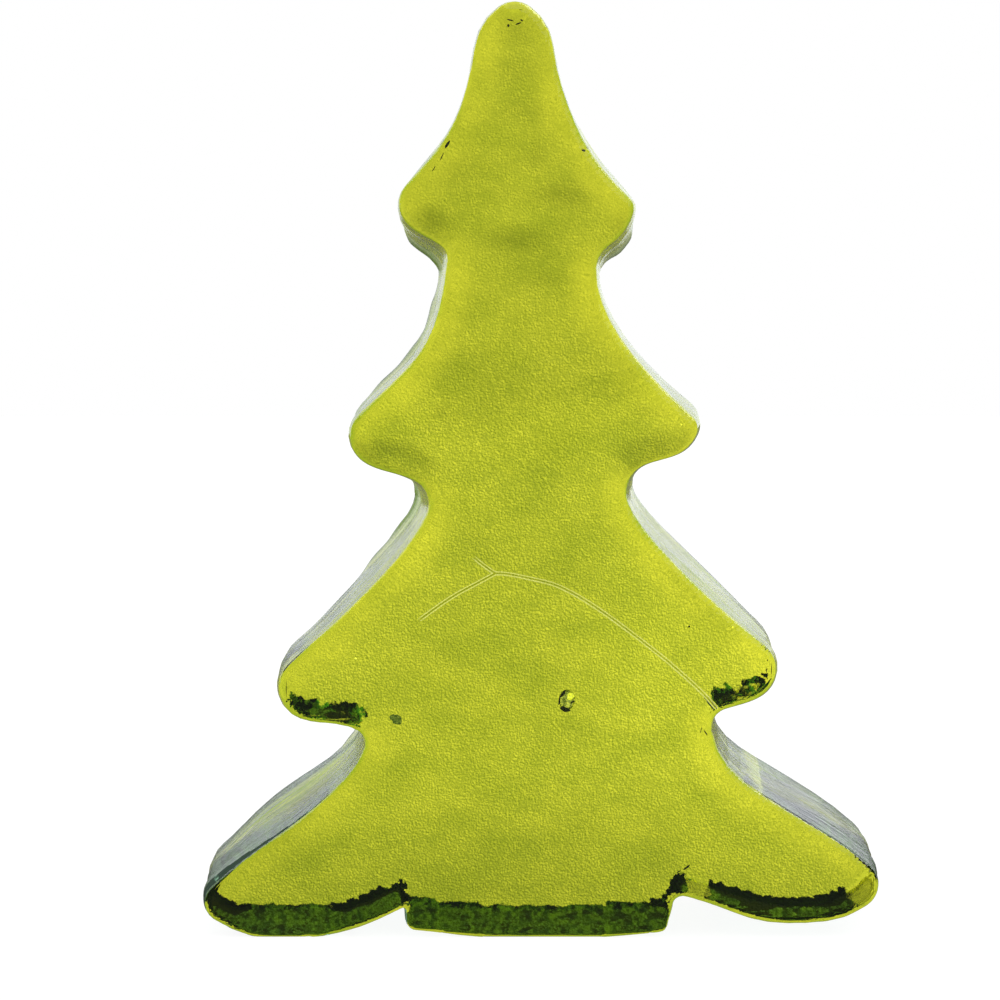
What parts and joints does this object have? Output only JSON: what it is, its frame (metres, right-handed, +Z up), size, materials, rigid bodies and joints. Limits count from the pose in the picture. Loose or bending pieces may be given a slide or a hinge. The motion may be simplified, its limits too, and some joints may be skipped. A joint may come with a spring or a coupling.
{
  "type": "glass christmas tree",
  "caption": "Solid cast-glass Christmas tree with a tiered outline of rounded branch tips, flat front and back, and a ground flat foot that stands it upright.",
  "frame": {"origin": "centre of the bounding box at the bottom, on the table plane", "axes": "+Z up to the apex, -Y out of the front face towards the viewer, +X to the viewer's right"},
  "size_m": [0.1512, 0.0444, 0.2032],
  "materials": {
    "cast_glass": "clear chartreuse cast glass, fire-polished walls, ground underneath"
  },
  "bodies": {
    "root": {"cast_glass_tree": "cast_glass"}
  },
  "joints": []
}
